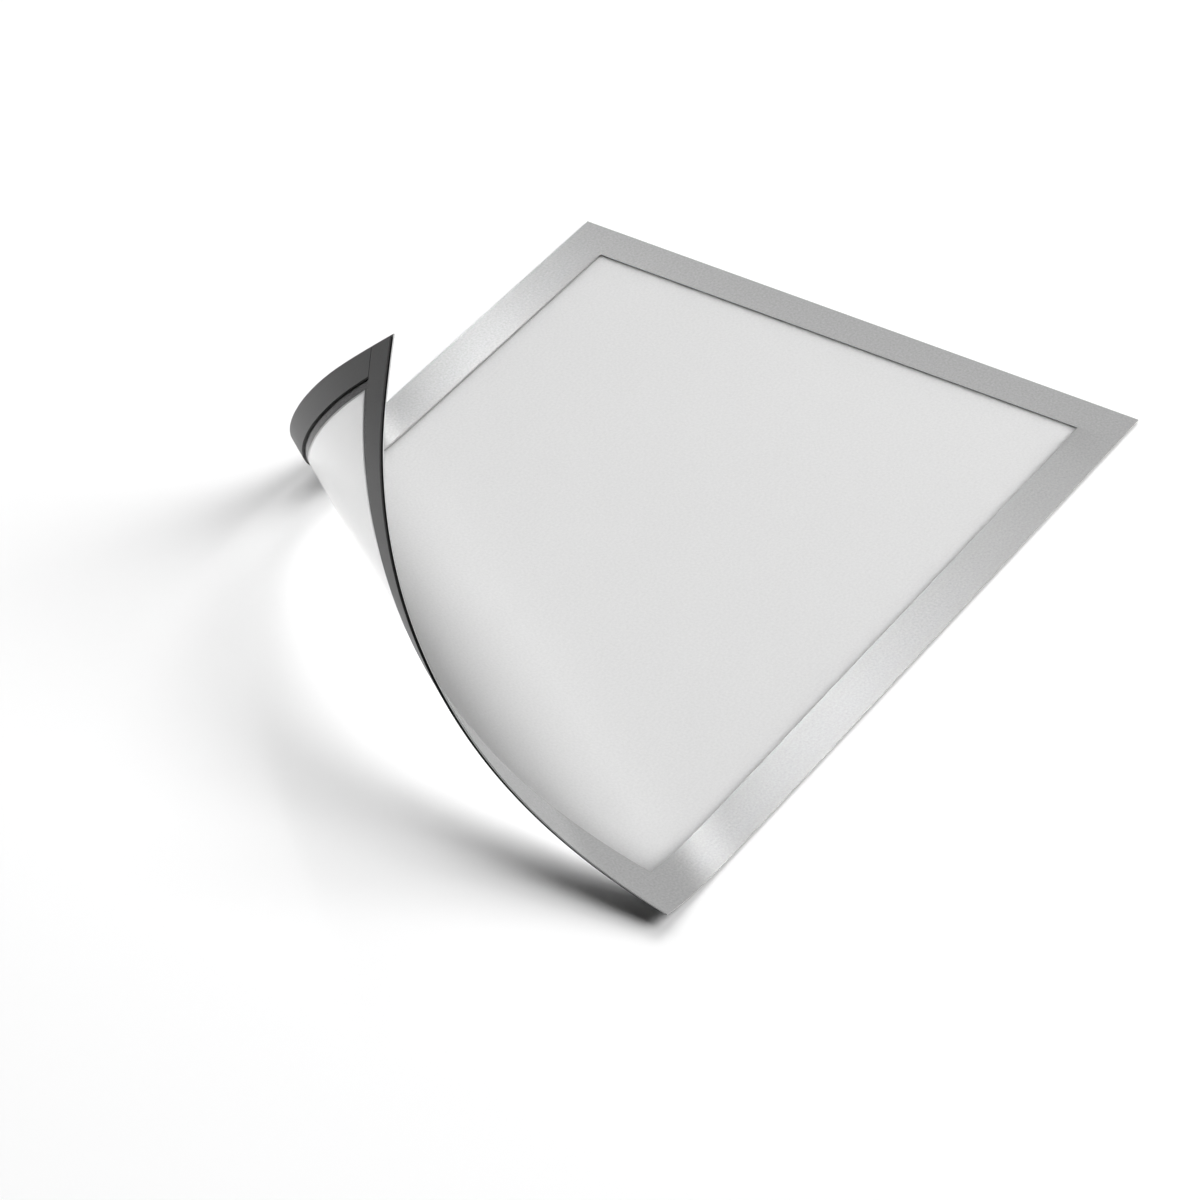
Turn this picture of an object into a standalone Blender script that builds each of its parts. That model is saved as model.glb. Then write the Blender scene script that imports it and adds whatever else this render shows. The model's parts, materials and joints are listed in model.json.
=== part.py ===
"""Flexible magnetic document frame for one sheet of paper, on its back with one corner curled over.

Three layers are glued face to face: an opaque silver border at the front, a clear film over the whole
frame behind it, and four flexible magnet strips on the back that leave room for the document between them.
Seen from the front with the long side upright, +X points to the top of the frame and +Y to its left.

The curl is a fan of straight bend lines across the bottom left corner. Between two bend lines the sheet
stays flat, so each layer is cut there into one slice for each panel of the fan. Panel 0 lies flat, and
every further panel hangs on the one before it, turned about the bend line that they share.
"""

import math

import bmesh
import bpy
from mathutils import Matrix, Vector

# The document that the frame holds, and the room it has between the magnet strips, in metres
DOCUMENT_LENGTH = 0.297
DOCUMENT_WIDTH = 0.210
DOCUMENT_CLEARANCE = 0.0009
DOCUMENT_OVERLAP = 0.00325

# Layers, from the front to the back
BORDER_THICKNESS = 0.0001
FILM_THICKNESS = 0.00025
STRIP_THICKNESS = 0.0008
ADHESIVE_THICKNESS = 0.00005
STRIP_WIDTH = 0.0111
STRIP_SETBACK = 0.001
STRIP_END_GAP = 0.0003

# Bend lines: they fan out from one point beyond the left edge. The fan starts on the right edge, and its
# last line stays clear of the window's corner.
BEND_COUNT = 9
BEND_GAP = 0.0003
CURL_ANGLE = math.radians(124.3)
FAN_START_ANGLE = math.radians(58.6)
FAN_START = 0.0389
FAN_RADIUS = 0.682
WINDOW_CORNER_CLEARANCE = 0.0012
# How much wider than the average the bend lines are spaced where the curl starts, and at its tip
SPACING_AT_START = 0.22
SPACING_AT_TIP = 0.56

STRIP_REACH = STRIP_SETBACK + STRIP_WIDTH
FRAME_LENGTH = DOCUMENT_LENGTH + 2 * (DOCUMENT_CLEARANCE + STRIP_REACH)
FRAME_WIDTH = DOCUMENT_WIDTH + 2 * (DOCUMENT_CLEARANCE + STRIP_REACH)
BORDER_WIDTH = STRIP_REACH + DOCUMENT_CLEARANCE + DOCUMENT_OVERLAP
FILM_DEPTH = BORDER_THICKNESS + ADHESIVE_THICKNESS
STRIP_DEPTH = FILM_DEPTH + FILM_THICKNESS + ADHESIVE_THICKNESS
TOTAL_THICKNESS = STRIP_DEPTH + STRIP_THICKNESS

TOP = FRAME_LENGTH / 2
LEFT = FRAME_WIDTH / 2
BEND_ANGLE = CURL_ANGLE / BEND_COUNT
CURLED_CORNER = Vector((-TOP, LEFT, 0))
FAN_EDGE_POINT = Vector((FAN_START - TOP, -LEFT, 0))
FAN_START_LINE = Vector((math.cos(FAN_START_ANGLE), math.sin(FAN_START_ANGLE), 0))
FAN_CENTRE = FAN_EDGE_POINT + FAN_START_LINE * FAN_RADIUS
WINDOW_CORNER = CURLED_CORNER + Vector((BORDER_WIDTH, -BORDER_WIDTH, 0))
WINDOW_TO_CENTRE = FAN_CENTRE - WINDOW_CORNER
WINDOW_CORNER_ANGLE = math.atan2(WINDOW_TO_CENTRE.y, WINDOW_TO_CENTRE.x)
LAST_BEND_ANGLE = WINDOW_CORNER_ANGLE + math.asin(WINDOW_CORNER_CLEARANCE / WINDOW_TO_CENTRE.length)


def clear_scene():
    for obj in list(bpy.data.objects):
        bpy.data.objects.remove(obj, do_unlink=True)


def finish(name, colour, roughness, metallic=0.0, alpha=1.0):
    material = bpy.data.materials.new(name)
    material.use_nodes = True
    shader = material.node_tree.nodes["Principled BSDF"]
    shader.inputs["Base Color"].default_value = (*colour, 1.0)
    shader.inputs["Roughness"].default_value = roughness
    shader.inputs["Metallic"].default_value = metallic
    shader.inputs["Alpha"].default_value = alpha
    return material


def fan_share(bend):
    """How far into the fan a bend line lies, from 0 to 1. The lines lie closest in the middle of the curl."""
    share = (bend - 0.5) / BEND_COUNT
    ease = SPACING_AT_START * (1 - share) - SPACING_AT_TIP * share
    return share + share * (1 - share) * ease


def bend_direction(bend):
    """Angle of a bend line to the long side."""
    spread = FAN_START_ANGLE - LAST_BEND_ANGLE
    return FAN_START_ANGLE - spread * fan_share(bend) / fan_share(BEND_COUNT)


def panel_frame(panel):
    """Place of a panel in the flat sheet: +X along its bend line, +Y towards the curled corner."""
    if panel == 0:
        return Matrix.Identity(4)
    angle = bend_direction(panel)
    along = Vector((math.cos(angle), math.sin(angle), 0))
    foot = FAN_CENTRE + along * along.dot(CURLED_CORNER - FAN_CENTRE)
    return Matrix.Translation(foot) @ Matrix.Rotation(angle, 4, "Z")


def hang_panels():
    """One empty for each panel, on its bend line in the frame's front face and turned by the bend."""
    empties = []
    for panel in range(BEND_COUNT + 1):
        empty = bpy.data.objects.new(f"panel_{panel}", None)
        bpy.context.collection.objects.link(empty)
        if panel == 0:
            empty.location.z = TOTAL_THICKNESS
        else:
            empty.parent = empties[-1]
            fold = Matrix.Rotation(BEND_ANGLE, 4, "X")
            empty.matrix_local = panel_frame(panel - 1).inverted() @ panel_frame(panel) @ fold
        empties.append(empty)
    return empties


def rectangle(x_low, x_high, y_low, y_high):
    shape = bmesh.new()
    corners = ((x_low, y_low), (x_high, y_low), (x_high, y_high), (x_low, y_high))
    shape.faces.new([shape.verts.new((x, y, 0)) for x, y in corners])
    shape.normal_update()
    return shape


def border_ring():
    ring = rectangle(-TOP, TOP, -LEFT, LEFT)
    window = ring.faces[:]
    bmesh.ops.inset_individual(ring, faces=window, thickness=BORDER_WIDTH, use_even_offset=True)
    bmesh.ops.delete(ring, geom=window, context="FACES")
    return ring


def cut(shape, bend, keep_beyond):
    """Cuts the shape along a bend line and keeps one side, half a bend gap away from the line."""
    place = panel_frame(bend)
    across = place.to_3x3() @ Vector((0, 1, 0))
    side = 1 if keep_beyond else -1
    bmesh.ops.bisect_plane(
        shape,
        geom=shape.verts[:] + shape.edges[:] + shape.faces[:],
        plane_co=place.translation + side * across * BEND_GAP / 2,
        plane_no=across,
        clear_inner=keep_beyond,
        clear_outer=not keep_beyond,
    )


def panel_slice(shape, panel):
    """The part of a flat shape that lies in one panel, still in the sheet's own place."""
    piece = shape.copy()
    if panel > 0:
        cut(piece, panel, keep_beyond=True)
    if panel < BEND_COUNT:
        cut(piece, panel + 1, keep_beyond=False)
    return piece


def connected_faces(shape):
    """The faces of a shape as groups that hang together."""
    left_over = list(shape.faces)
    groups = []
    while left_over:
        group = [left_over.pop(0)]
        for face in group:
            for edge in face.edges:
                linked = [other for other in edge.link_faces if other in left_over]
                group += linked
                left_over = [other for other in left_over if other not in linked]
        groups.append(group)
    return groups


def sides_of(faces):
    """The frame's outer edges that these faces lie along, in words."""
    points = [vert.co for face in faces for vert in face.verts]
    reach = {
        "top": max(point.x for point in points) - TOP,
        "bottom": -TOP - min(point.x for point in points),
        "left": max(point.y for point in points) - LEFT,
        "right": -LEFT - min(point.y for point in points),
    }
    return "_".join(side for side, past in reach.items() if abs(past) < BEND_GAP / 2)


def add_slice(name, faces, panel, depth, thickness, material):
    """One solid slice: the faces, set to their depth below the front and given their thickness."""
    piece = bmesh.new()
    corners = {}
    for face in faces:
        for vert in face.verts:
            if vert not in corners:
                corners[vert] = piece.verts.new(vert.co)
        piece.faces.new([corners[vert] for vert in face.verts])
    piece.transform(panel_frame(panel).inverted() @ Matrix.Translation((0, 0, -depth)))
    mesh = bpy.data.meshes.new(name)
    piece.to_mesh(mesh)
    piece.free()
    mesh.materials.append(material)
    obj = bpy.data.objects.new(name, mesh)
    bpy.context.collection.objects.link(obj)
    obj.parent = PANELS[panel]
    wall = obj.modifiers.new("Thickness", "SOLIDIFY")
    wall.thickness = thickness
    wall.offset = -1


def add_layer(label, shape, depth, thickness, material, name_sides=False):
    """Slices of one layer for all the panels that it reaches into."""
    for panel in range(BEND_COUNT + 1):
        piece = panel_slice(shape, panel)
        for faces in connected_faces(piece):
            sides = f"_{sides_of(faces)}" if name_sides else ""
            add_slice(f"{label}_{panel}{sides}", faces, panel, depth, thickness, material)
        piece.free()
    shape.free()


def add_silver_border():
    silver = finish("silver border", (0.50, 0.50, 0.51), 0.38, metallic=0.6)
    add_layer("silver_border", border_ring(), 0, BORDER_THICKNESS, silver, name_sides=True)


def add_window_film():
    clear = finish("matte clear film", (0.86, 0.88, 0.89), 0.35, alpha=0.35)
    add_layer("window_film", rectangle(-TOP, TOP, -LEFT, LEFT), FILM_DEPTH, FILM_THICKNESS, clear)


def add_magnet_strips():
    """The short strips run from side to side, and the long ones fit between them, all set back a little."""
    rubber = finish("dark magnet rubber", (0.10, 0.10, 0.10), 0.55)
    long_end = TOP - STRIP_REACH - STRIP_END_GAP
    short_end = LEFT - STRIP_SETBACK
    strips = {
        "top": (TOP - STRIP_REACH, TOP - STRIP_SETBACK, -short_end, short_end),
        "bottom": (-TOP + STRIP_SETBACK, -TOP + STRIP_REACH, -short_end, short_end),
        "left": (-long_end, long_end, LEFT - STRIP_REACH, LEFT - STRIP_SETBACK),
        "right": (-long_end, long_end, -LEFT + STRIP_SETBACK, -LEFT + STRIP_REACH),
    }
    for side, sizes in strips.items():
        add_layer(f"magnet_strip_{side}", rectangle(*sizes), STRIP_DEPTH, STRIP_THICKNESS, rubber)


clear_scene()
PANELS = hang_panels()
add_silver_border()
add_window_film()
add_magnet_strips()
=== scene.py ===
"""Looks of the flexible magnetic document frame, on its back with one corner curled over."""

import json
import math
from functools import lru_cache

import bpy
import numpy as np
from mathutils import Matrix, Vector
from mathutils.geometry import intersect_line_line


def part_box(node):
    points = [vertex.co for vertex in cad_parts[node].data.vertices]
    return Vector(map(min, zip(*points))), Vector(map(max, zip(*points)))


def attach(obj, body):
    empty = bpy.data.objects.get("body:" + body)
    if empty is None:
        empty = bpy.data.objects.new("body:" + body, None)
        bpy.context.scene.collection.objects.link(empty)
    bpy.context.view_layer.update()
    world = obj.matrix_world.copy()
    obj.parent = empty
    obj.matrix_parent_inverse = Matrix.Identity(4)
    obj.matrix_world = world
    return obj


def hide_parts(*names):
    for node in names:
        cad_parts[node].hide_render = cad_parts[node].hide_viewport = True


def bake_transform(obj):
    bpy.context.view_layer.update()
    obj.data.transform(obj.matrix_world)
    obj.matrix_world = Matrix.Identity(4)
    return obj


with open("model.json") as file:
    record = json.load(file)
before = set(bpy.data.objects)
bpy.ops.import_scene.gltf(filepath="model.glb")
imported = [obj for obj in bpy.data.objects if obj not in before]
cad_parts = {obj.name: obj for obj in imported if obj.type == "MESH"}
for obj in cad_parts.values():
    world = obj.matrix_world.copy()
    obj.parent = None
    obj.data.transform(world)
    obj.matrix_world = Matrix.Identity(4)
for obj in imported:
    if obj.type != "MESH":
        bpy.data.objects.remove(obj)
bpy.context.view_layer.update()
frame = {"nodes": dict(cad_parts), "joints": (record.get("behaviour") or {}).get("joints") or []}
bpy.ops.object.select_all(action="DESELECT")


# The curl. Film, border and magnet strips are one flexible laminate, rolled over along a fan of straight
# lines that meet in one point beyond the left edge. Each hinge of the frame stands for an equal share of
# the roll, from halfway to the hinge before it to halfway to the next, so a bend number counts hinges.
# The roll sets in gently before the first hinge and ends gently after the last.
joints = frame["joints"]
hinge_count = len(joints)
hinge_turn = math.radians(-joints[0]["range_deg"][0])
front_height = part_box("silver_border_0_top_left_right")[1].z
panel_places = [Matrix.Translation((0, 0, front_height))]
hinge_lines = []
for joint in joints:
    hinge = Vector(joint["pos_m"])
    axis = Vector(joint["axis"])
    unrolled = panel_places[-1].inverted()
    hinge_lines.append((unrolled @ hinge, unrolled.to_3x3() @ axis))
    turn = Matrix.Translation(hinge) @ Matrix.Rotation(hinge_turn, 4, axis) @ Matrix.Translation(-hinge)
    panel_places.append(turn @ panel_places[-1])

(first_point, first_way), (last_point, last_way) = hinge_lines[0], hinge_lines[-1]
first_end = first_point + first_way
last_end = last_point + last_way
fan_centre = intersect_line_line(first_point, first_end, last_point, last_end)[0]
line_angles = [math.atan2(way.y, way.x) for point, way in hinge_lines]
curve_degree = 3
table_size = 2000
angle_curve = np.polyfit(range(1, hinge_count + 1), line_angles, curve_degree)
bend_table = np.linspace(-1, hinge_count + 2, table_size)
angle_table = np.polyval(angle_curve, bend_table)
roll_end = hinge_count + 1
roll_steps = 16
bend_digits = 4
# Bend numbers that take in the whole flat sheet and the whole tip
before_roll = -2
beyond_roll = hinge_count + 3


def line_along(bend):
    """Direction of the roll line at a bend number, in the flat sheet."""
    angle = float(np.polyval(angle_curve, bend))
    return Vector((math.cos(angle), math.sin(angle), 0))


def bend_at(point):
    """Bend number of the roll line through a point of the flat sheet."""
    to_centre = fan_centre - point
    angle = math.atan2(to_centre.y, to_centre.x)
    return float(np.interp(-angle, -angle_table, bend_table))


def turns_at(bend):
    """How many hinge turns the sheet has rolled at a bend number."""
    if bend < 1:
        return max(bend, 0) ** 2 / 2
    if bend > hinge_count:
        return hinge_count - max(roll_end - bend, 0) ** 2 / 2
    return bend - 0.5


@lru_cache(maxsize=None)
def rolled_from(panel, bend):
    """Place of the sheet at a bend number, rolled on in small turns from the middle of a panel."""
    seam = {0: 0, hinge_count: roll_end}.get(panel, panel + 0.5)
    bends = np.linspace(seam, bend, roll_steps + 1)
    place = panel_places[panel].copy()
    for before, after in zip(bends, bends[1:]):
        angle = hinge_turn * (turns_at(after) - turns_at(before))
        turn = Matrix.Rotation(angle, 4, line_along((before + after) / 2))
        place = place @ Matrix.Translation(fan_centre) @ turn @ Matrix.Translation(-fan_centre)
    return place


def curled(point):
    """Place of a point of the flat sheet with its corner rolled over."""
    bend = round(bend_at(Vector((point.x, point.y, 0))), bend_digits)
    bend = min(max(bend, 0), roll_end)
    panel = min(max(math.floor(bend + 0.5), 1), hinge_count)
    share = min(max(bend - panel + 0.5, 0), 1)
    before = rolled_from(panel - 1, bend) @ point
    after = rolled_from(panel, bend) @ point
    return before.lerp(after, share * share * (3 - 2 * share))


# Window film. A matte clear plastic sheet over the whole frame, cut square at its edges. It carries the
# border on its front and the magnet strips on its back, and the document shows through it. Under the
# border its face is clear.
film_low, film_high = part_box("window_film_0")
frame_top = film_high.x
frame_left = film_high.y
film_thickness = film_high.z - film_low.z
film_depth = front_height - film_high.z
roll_cut_step = 0.1
seam_margin = 0.02
seam_tolerance = 0.005
cross_spacing = 0.024
smooth_angle = math.radians(30)
border_width = 0.01625
film_dark = (0.4, 0.4, 0.4)
film_light = (0.9, 0.9, 0.9)
mottle_dark = (0.88, 0.88, 0.88)
mottle_light = (0.97, 0.97, 0.97)
cut_edge_dark = (0.6, 0.6, 0.6)
cut_edge_light = (0.75, 0.75, 0.75)
film_glow = (0.76, 0.76, 0.76)
film_glow_slanted = (0.42, 0.42, 0.42)
film_haze = 0.8
film_clear = (0.75, 0.75, 0.75)
film_clear_edge_on = (0, 0, 0)


def cut_sheet(point, across):
    """Cuts the whole sheet that is being edited along a line through a point."""
    bpy.ops.mesh.select_all(action="SELECT")
    bpy.ops.mesh.bisect(plane_co=point, plane_no=across)


def flat_sheet(name, x_low, x_high, y_low, y_high, depth):
    """A flat rectangle of the laminate, set below its front face, in edit mode."""
    bpy.ops.object.select_all(action="DESELECT")
    middle = ((x_low + x_high) / 2, (y_low + y_high) / 2, -depth)
    bpy.ops.mesh.primitive_plane_add(size=1, location=middle)
    sheet = bpy.context.object
    sheet.name = name
    sheet.scale = (x_high - x_low, y_high - y_low, 1)
    bpy.ops.object.transform_apply(location=True, rotation=True, scale=True)
    bpy.ops.object.mode_set(mode="EDIT")
    return sheet


def cut_for_rolling(sheet):
    """Cuts the flat sheet along the roll lines and across them, and lays its own plan on it as a map."""
    seams = np.arange(1, hinge_count) + 0.5
    roll_lines = np.arange(0, roll_end + roll_cut_step / 2, roll_cut_step)
    for bend in (*roll_lines, *(seams - seam_margin), *(seams + seam_margin)):
        along = line_along(bend)
        cut_sheet(fan_centre, (-along.y, along.x, 0))
    for x in np.arange(-frame_top + cross_spacing, frame_top, cross_spacing):
        cut_sheet((x, 0, 0), (1, 0, 0))
    for y in np.arange(-frame_left + cross_spacing, frame_left, cross_spacing):
        cut_sheet((0, y, 0), (0, 1, 0))
    bpy.ops.object.mode_set(mode="OBJECT")
    plan = sheet.data.uv_layers.get("plan") or sheet.data.uv_layers.new(name="plan")
    plan.active = True
    for loop in sheet.data.loops:
        point = sheet.data.vertices[loop.vertex_index].co
        plan.uv[loop.index].vector = (point.x + frame_top, point.y + frame_left)


def rolled_piece(sheet, name, low, high, thickness):
    """The stretch of a flat sheet between two bend numbers, rolled up and given its thickness.

    In the sheet's list, each front material is followed by the one for its back and the one for its rim.
    """
    piece = sheet.copy()
    piece.data = sheet.data.copy()
    piece.name = name
    bpy.context.collection.objects.link(piece)
    bpy.ops.object.select_all(action="DESELECT")
    piece.select_set(True)
    bpy.context.view_layer.objects.active = piece
    bpy.ops.object.mode_set(mode="EDIT")
    bpy.ops.mesh.select_all(action="DESELECT")
    bpy.ops.mesh.select_mode(type="FACE")
    bpy.ops.object.mode_set(mode="OBJECT")
    for face in piece.data.polygons:
        face.select = not low < bend_at(face.center) < high
    bpy.ops.object.mode_set(mode="EDIT")
    bpy.ops.mesh.delete(type="FACE")
    bpy.ops.object.mode_set(mode="OBJECT")
    for vertex in piece.data.vertices:
        vertex.co = curled(vertex.co)
    wall = piece.modifiers.new("Thickness", "SOLIDIFY")
    wall.thickness = thickness
    wall.offset = -1
    wall.material_offset = 1
    wall.material_offset_rim = 2
    bpy.ops.object.modifier_apply(modifier=wall.name)
    bpy.ops.object.shade_smooth_by_angle(angle=smooth_angle)
    return piece


def bend_with(piece):
    """Bakes a piece's placement into its mesh."""
    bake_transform(piece)


def stretch_of(hinge_number, first=1):
    """Bend numbers where a piece starts and ends. The end pieces also take the flat sheet and tip."""
    low = hinge_number - 0.5 if hinge_number > first else before_roll
    high = hinge_number + 0.5 if hinge_number < hinge_count else beyond_roll
    return low, high


def grain_group():
    """Fine grain on the sheet's own plan: a mostly even value with small light and dark specks."""
    group = bpy.data.node_groups.new("fine_grain", "ShaderNodeTree")
    face = group.interface
    face.new_socket("Scale", in_out="INPUT", socket_type="NodeSocketFloat").default_value = 1500
    face.new_socket("Low", in_out="INPUT", socket_type="NodeSocketFloat").default_value = 0
    face.new_socket("High", in_out="INPUT", socket_type="NodeSocketFloat").default_value = 1
    face.new_socket("Value", in_out="OUTPUT", socket_type="NodeSocketFloat")
    inputs = group.nodes.new("NodeGroupInput")
    outputs = group.nodes.new("NodeGroupOutput")
    plan = group.nodes.new("ShaderNodeUVMap")
    plan.uv_map = "plan"
    noise = group.nodes.new("ShaderNodeTexNoise")
    noise.inputs["Detail"].default_value = 2
    noise.inputs["Roughness"].default_value = 0.6
    spread = group.nodes.new("ShaderNodeMapRange")
    spread.inputs["From Min"].default_value = 0.25
    spread.inputs["From Max"].default_value = 0.75
    group.links.new(plan.outputs["UV"], noise.inputs["Vector"])
    group.links.new(inputs.outputs["Scale"], noise.inputs["Scale"])
    group.links.new(noise.outputs["Fac"], spread.inputs["Value"])
    group.links.new(inputs.outputs["Low"], spread.inputs["To Min"])
    group.links.new(inputs.outputs["High"], spread.inputs["To Max"])
    group.links.new(spread.outputs["Result"], outputs.inputs["Value"])
    return group


fine_grain = grain_group()


def add_grain(material, scale, low, high):
    """A grain node in a material, with its own scale and range."""
    grain = material.node_tree.nodes.new("ShaderNodeGroup")
    grain.node_tree = fine_grain
    grain.inputs["Scale"].default_value = scale
    grain.inputs["Low"].default_value = low
    grain.inputs["High"].default_value = high
    return grain.outputs["Value"]


def new_material(name):
    material = bpy.data.materials.new(name)
    material.use_nodes = True
    return material, material.node_tree.nodes["Principled BSDF"]


def paint_grained(material, shader, dark, light, scale):
    """Gives a material a base colour that goes from dark to light with the grain."""
    tone = material.node_tree.nodes.new("ShaderNodeMix")
    tone.data_type = "RGBA"
    tone.inputs["A"].default_value = (*dark, 1)
    tone.inputs["B"].default_value = (*light, 1)
    links = material.node_tree.links
    links.new(add_grain(material, scale, 0, 1), tone.inputs["Factor"])
    links.new(tone.outputs["Result"], shader.inputs["Base Color"])


def let_lamps_through(material, shader):
    """Lets lamp light through a glassy film."""
    nodes, links = material.node_tree.nodes, material.node_tree.links
    through = nodes.new("ShaderNodeBsdfTransparent")
    path = nodes.new("ShaderNodeLightPath")
    lamps = nodes.new("ShaderNodeMixShader")
    links.new(path.outputs["Is Shadow Ray"], lamps.inputs["Fac"])
    links.new(shader, lamps.inputs[1])
    links.new(through.outputs["BSDF"], lamps.inputs[2])
    links.new(lamps.outputs["Shader"], nodes["Material Output"].inputs["Surface"])
    return through


def matte_film():
    """Matte front of the film: it scatters light, and lets less of it through where it is slanted."""
    material, shader = new_material("matte_film")
    nodes, links = material.node_tree.nodes, material.node_tree.links
    paint_grained(material, shader, film_dark, film_light, 1000)
    shader.inputs["Roughness"].default_value = 0.5
    shader.inputs["IOR"].default_value = 1.45
    shader.inputs["Transmission Weight"].default_value = 0.85
    facing = nodes.new("ShaderNodeLayerWeight")
    facing.inputs["Blend"].default_value = 0.5
    slant = nodes.new("ShaderNodeMapRange")
    slant.inputs["From Min"].default_value = 0.4
    slant.inputs["From Max"].default_value = 0.78
    links.new(facing.outputs["Facing"], slant.inputs["Value"])
    slanted = nodes.new("ShaderNodeMix")
    slanted.data_type = "RGBA"
    slanted.inputs["A"].default_value = (*film_glow, 1)
    slanted.inputs["B"].default_value = (*film_glow_slanted, 1)
    side = nodes.new("ShaderNodeNewGeometry")
    front_slant = nodes.new("ShaderNodeMath")
    front_slant.operation = "SUBTRACT"
    front_slant.use_clamp = True
    links.new(slant.outputs["Result"], front_slant.inputs[0])
    links.new(side.outputs["Backfacing"], front_slant.inputs[1])
    links.new(front_slant.outputs["Value"], slanted.inputs["Factor"])
    glow = nodes.new("ShaderNodeBsdfTranslucent")
    links.new(slanted.outputs["Result"], glow.inputs["Color"])
    haze = nodes.new("ShaderNodeMixShader")
    haze.inputs["Fac"].default_value = film_haze
    links.new(shader.outputs["BSDF"], haze.inputs[1])
    links.new(glow.outputs["BSDF"], haze.inputs[2])
    through = let_lamps_through(material, haze.outputs["Shader"])
    dimming = nodes.new("ShaderNodeMix")
    dimming.data_type = "RGBA"
    dimming.inputs["A"].default_value = (*film_clear, 1)
    dimming.inputs["B"].default_value = (*film_clear_edge_on, 1)
    links.new(facing.outputs["Facing"], dimming.inputs["Factor"])
    links.new(dimming.outputs["Result"], through.inputs["Color"])
    return material


def smooth_film():
    """Smooth back of the film."""
    material, shader = new_material("smooth_film")
    shader.inputs["Base Color"].default_value = (0.97, 0.97, 0.97, 1)
    shader.inputs["Roughness"].default_value = 0.15
    shader.inputs["IOR"].default_value = 1.25
    shader.inputs["Transmission Weight"].default_value = 1
    let_lamps_through(material, shader.outputs["BSDF"])
    return material


def glued_film():
    """Front of the film under the border, clear but for the glue's own mottle."""
    material, shader = new_material("glued_film")
    paint_grained(material, shader, mottle_dark, mottle_light, 700)
    shader.inputs["Roughness"].default_value = 0.03
    shader.inputs["IOR"].default_value = 1.1
    shader.inputs["Transmission Weight"].default_value = 1
    let_lamps_through(material, shader.outputs["BSDF"])
    return material


def film_cut_edge():
    """Cut edge of the film, whitened by the knife."""
    material, shader = new_material("film_cut_edge")
    paint_grained(material, shader, cut_edge_dark, cut_edge_light, 900)
    shader.inputs["Roughness"].default_value = 0.5
    return material


def joined_edge():
    """Where two stretches of film run on into each other nothing shows."""
    material, shader = new_material("joined_film_edge")
    shader.inputs["Alpha"].default_value = 0
    return material


def edge_distance(point):
    """How far a point of the flat sheet lies from the nearest outer edge."""
    return min(frame_top - abs(point.x), frame_left - abs(point.y))


def cut_along_edges(distance):
    """Cuts the sheet that is being edited along all four sides, a distance in from the edge."""
    for side in (-1, 1):
        cut_sheet((side * (frame_top - distance), 0, 0), (1, 0, 0))
        cut_sheet((0, side * (frame_left - distance), 0), (0, 1, 0))


film_front, film_back, film_glued = matte_film(), smooth_film(), glued_film()
film_edge, film_join = film_cut_edge(), joined_edge()
film_sheet = flat_sheet("film", -frame_top, frame_top, -frame_left, frame_left, film_depth)
cut_along_edges(border_width)
cut_for_rolling(film_sheet)
film_materials = (film_front, film_back, film_edge, film_glued, film_back, film_edge, film_join)
glued_index = film_materials.index(film_glued)
join_index = film_materials.index(film_join)
for material in film_materials:
    film_sheet.data.materials.append(material)
for face in film_sheet.data.polygons:
    face.material_index = glued_index if edge_distance(face.center) < border_width else 0
for number in range(1, hinge_count + 1):
    low, high = stretch_of(number)
    film = rolled_piece(film_sheet, f"film_{number}", low, high, film_thickness)
    plan = film.data.uv_layers["plan"]
    for face in film.data.polygons:
        spots = [plan.uv[loop].vector for loop in face.loop_indices]
        bends = [bend_at(Vector((spot.x - frame_top, spot.y - frame_left, 0))) for spot in spots]
        if any(all(abs(bend - end) < seam_tolerance for bend in bends) for end in (low, high)):
            face.material_index = join_index
    bend_with(film)
    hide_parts(*[f"window_film_{n}" for n in ((0, 1) if number == 1 else (number,))])
bpy.data.objects.remove(film_sheet)


# Silver border. A satin metallic print on thin foil, 16 mm wide all round, glued to the front of the
# film. Its back is printed dark so that nothing shows through. The back of the inner lip is painted pale
# instead: painted light for the light that the matte film scatters over the unglued lip. Its inner lip is
# free of glue and stands up a little along the top and the left, so a dark line shows under it there.
border_low, border_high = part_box("silver_border_0_top_left_right")
border_thickness = border_high.z - border_low.z
glued_width = 0.0156
top_lip_rise = 0.00026
left_lip_rise = 0.00012
lip_cuts = (-0.6, 0, 0.5)
lip_tolerance = 0.01
lip_index = 3
silver_dark = (0.29, 0.29, 0.29)
silver_light = (0.375, 0.375, 0.375)
black_print_tones = (0.012, 0.012, 0.012), (0.022, 0.022, 0.022)
# Painted light: pale tones for the back of the lip, in place of the light that the film scatters over it
lip_painted_light_tones = (0.72, 0.72, 0.72), (0.8, 0.8, 0.8)


def satin_silver():
    material, shader = new_material("satin_silver")
    nodes, links = material.node_tree.nodes, material.node_tree.links
    paint_grained(material, shader, silver_dark, silver_light, 1100)
    links.new(add_grain(material, 1700, 0.18, 0.23), shader.inputs["Roughness"])
    shader.inputs["Specular IOR Level"].default_value = 0.64
    bump = nodes.new("ShaderNodeBump")
    bump.inputs["Strength"].default_value = 0.03
    bump.inputs["Distance"].default_value = 0.0001
    links.new(add_grain(material, 2600, 0, 1), bump.inputs["Height"])
    links.new(bump.outputs["Normal"], shader.inputs["Normal"])
    return material


def print_back(name, dark, light):
    """Matte back of the border, plain but for its grain: the dark print, and the pale painted light on
    the lip.
    """
    material, shader = new_material(name)
    paint_grained(material, shader, dark, light, 1500)
    shader.inputs["Roughness"].default_value = 0.6
    return material


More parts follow.
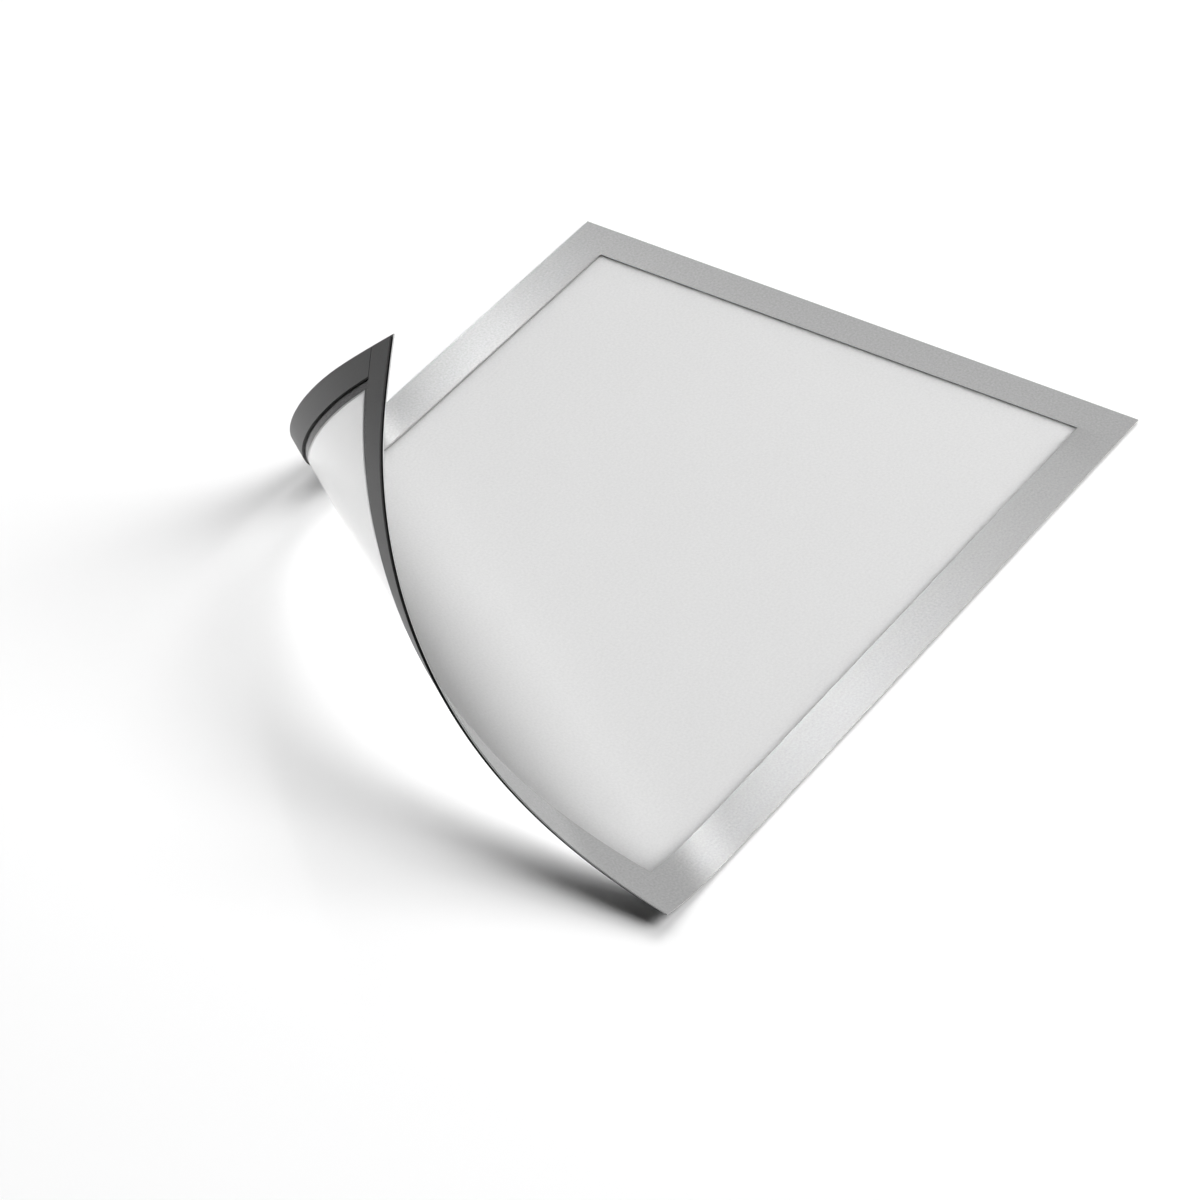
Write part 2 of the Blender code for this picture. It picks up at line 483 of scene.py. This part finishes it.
silver = satin_silver()
dark_back = print_back("dark_print_back", *black_print_tones)
lip_painted_light_back = print_back("lip_back_painted_light", *lip_painted_light_tones)
border_sheet = flat_sheet("border", -frame_top, frame_top, -frame_left, frame_left, 0)
bpy.ops.mesh.inset(thickness=border_width)
bpy.ops.mesh.delete(type="FACE")
for share in lip_cuts:
    cut_along_edges(glued_width + share * (border_width - glued_width))
cut_for_rolling(border_sheet)
# The back of the lip takes the pale painted light; the rest of the back is the dark print
for material in (silver, dark_back, silver, silver, lip_painted_light_back, silver):
    border_sheet.data.materials.append(material)
for face in border_sheet.data.polygons:
    face.material_index = lip_index if edge_distance(face.center) > glued_width else 0
for vertex in border_sheet.data.vertices:
    inner = edge_distance(vertex.co) > glued_width
    sides = ((frame_top - vertex.co.x, top_lip_rise), (frame_left - vertex.co.y, left_lip_rise))
    for distance, rise in sides:
        lip_share = (distance - glued_width) / (border_width - glued_width)
        if inner and 0 < lip_share < 1 + lip_tolerance:
            vertex.co.z += rise * lip_share ** 2
for number in range(1, hinge_count + 1):
    low, high = stretch_of(number)
    border = rolled_piece(border_sheet, f"border_{number}", low, high, border_thickness)
    bend_with(border)
    own = [node for node in frame["nodes"] if node.startswith(f"silver_border_{number}_")]
    if number == 1:
        own.append("silver_border_0_top_left_right")
    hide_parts(*own)
bpy.data.objects.remove(border_sheet)


# Magnet strips. Flat extruded magnet rubber, dark grey and slightly glossy, with black cut edges. The
# short strips run across, and the long ones butt against them. They are glued to the film, a little in
# from its edge.
strip_low, strip_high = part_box("magnet_strip_top_0")
strip_thickness = strip_high.z - strip_low.z
strip_depth = front_height - strip_high.z
strip_width = strip_high.x - strip_low.x
short_end = strip_high.y
long_side = frame_left - (frame_top - strip_high.x)
long_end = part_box("magnet_strip_left_0")[1].x
rubber_tones = (0.05, 0.05, 0.05), (0.062, 0.062, 0.062)
rubber_edge_tones = (0.006, 0.006, 0.006), (0.012, 0.012, 0.012)


def magnet_rubber(name, dark, light, roughness):
    material, shader = new_material(name)
    paint_grained(material, shader, dark, light, 1200)
    shader.inputs["Roughness"].default_value = roughness
    return material


rubber = magnet_rubber("magnet_rubber", *rubber_tones, roughness=0.42)
rubber_edge = magnet_rubber("magnet_rubber_cut_edge", *rubber_edge_tones, roughness=0.6)
strip_plans = {
    "top": (strip_low.x, strip_high.x, -short_end, short_end),
    "right": (-long_end, long_end, -long_side, -long_side + strip_width),
    "left": (-long_end, long_end, long_side - strip_width, long_side),
    "bottom": (-strip_high.x, -strip_low.x, -short_end, short_end),
}
strip_hinges = {
    "top": [1],
    "right": [1],
    "left": range(1, hinge_count + 1),
    "bottom": range(2, hinge_count + 1),
}
for side, plan_sizes in strip_plans.items():
    strip_sheet = flat_sheet(f"strip_{side}", *plan_sizes, strip_depth)
    cut_for_rolling(strip_sheet)
    for material in (rubber_edge, rubber, rubber_edge):
        strip_sheet.data.materials.append(material)
    numbers = strip_hinges[side]
    for number in numbers:
        low, high = stretch_of(number, first=numbers[0])
        if number == numbers[-1]:
            high = beyond_roll
        strip = rolled_piece(strip_sheet, f"strip_{side}_{number}", low, high, strip_thickness)
        if side == "top":
            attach(strip, "flat_sheet")
        else:
            bend_with(strip)
        panels = range(number) if number == numbers[0] else []
        own = [f"magnet_strip_{side}_{n}" for n in (*panels, number)]
        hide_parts(*[node for node in own if node in frame["nodes"]])
    bpy.data.objects.remove(strip_sheet)


# Floor. A plain white studio table.
floor_size = 12
bpy.ops.object.select_all(action="DESELECT")
bpy.ops.mesh.primitive_plane_add(size=floor_size)
floor = bpy.context.object
floor.name = "floor"
floor_material, floor_shader = new_material("white_table")
floor_shader.inputs["Base Color"].default_value = (0.95, 0.95, 0.95, 1)
floor_shader.inputs["Roughness"].default_value = 0.9
floor_shader.inputs["Specular IOR Level"].default_value = 0.1
floor.data.materials.append(floor_material)


# Light. Three large soft boxes stand to the right, to the far side and to the left of the sheet, and
# throw its soft shadows. A long tube and a small lamp behind the sheet lay a sheen across the border, and
# a weak lamp at the left brightens the back of the curl. No lamp shows through the film.
def soft_box(name, place, aim, width, height, power):
    light = bpy.data.lights.new(name, "AREA")
    light.shape = "RECTANGLE"
    light.size = width
    light.size_y = height
    light.energy = power
    lamp = bpy.data.objects.new(name, light)
    lamp.location = place
    lamp.visible_camera = False
    lamp.visible_transmission = False
    lamp.rotation_euler = (aim - Vector(place)).to_track_quat("-Z", "Y").to_euler()
    bpy.context.collection.objects.link(lamp)
    return lamp


def way_to(azimuth, elevation):
    """Direction towards a lamp, from its azimuth and elevation in degrees."""
    level = math.cos(math.radians(elevation))
    return Vector((
        level * math.cos(math.radians(azimuth)),
        level * math.sin(math.radians(azimuth)),
        math.sin(math.radians(elevation)),
    ))


curl_middle = Vector((-0.08, 0.03, 0.03))
right_border_middle = Vector((0, -0.11, 0))
lamp_distance = 6
key_place = curl_middle + way_to(-65, 46) * lamp_distance
left_place = curl_middle + way_to(64, 54) * lamp_distance
side_place = curl_middle + way_to(6, 45) * lamp_distance
fill_place = (-0.04, 1.24, 0.26)
sheen_place = (1.36, 0.6, 1.22)
soft_box("key_light", key_place, curl_middle, width=3.7, height=3.7, power=312)
soft_box("left_light", left_place, curl_middle, width=3.4, height=3.4, power=72)
side_lamp = soft_box("side_light", side_place, curl_middle, width=2.4, height=2.4, power=152)
side_lamp.visible_glossy = False
fill_lamp = soft_box("fill_light", fill_place, curl_middle, width=0.6, height=0.4, power=1.2)
fill_lamp.visible_glossy = False
soft_box("sheen_light", sheen_place, right_border_middle, width=0.22, height=0.15, power=0.4)

tube_low = Vector((0.725, 0.571, 0.584))
tube_high = Vector((1.835, 0.524, 2.118))
tube_width = 0.04
tube_power = 8.2
tube_length = (tube_high - tube_low).length
tube_middle = (tube_low + tube_high) / 2
frame_middle = Vector((0, 0, 0))
tube = soft_box("tube_light", tube_middle, frame_middle, tube_length, tube_width, tube_power)
tube_along = (tube_low - tube_high).normalized()
tube_back = (tube_middle - tube_along * tube_middle.dot(tube_along)).normalized()
tube_axes = Matrix((tube_along, tube_back.cross(tube_along), tube_back)).transposed()
tube.rotation_euler = tube_axes.to_euler()

world = bpy.data.worlds.new("white_room")
bpy.context.scene.world = world
world.use_nodes = True
world.cycles.sampling_method = "NONE"
room = world.node_tree.nodes["Background"]
room.inputs["Color"].default_value = (1, 1, 1, 1)
room.inputs["Strength"].default_value = 0.01


# Camera. The photograph's own view: a long lens from the front right, above the curled corner.
camera_data = bpy.data.cameras.new("camera")
camera_data.sensor_width = 36
camera_data.lens = 168.5
camera = bpy.data.objects.new("camera", camera_data)
camera.location = (-1.3104, -0.8309, 1.2184)
camera.rotation_euler = (math.radians(51.341), math.radians(0.280), math.radians(-57.539))
bpy.context.collection.objects.link(camera)
bpy.context.scene.camera = camera
bpy.context.scene.view_settings.view_transform = "Standard"
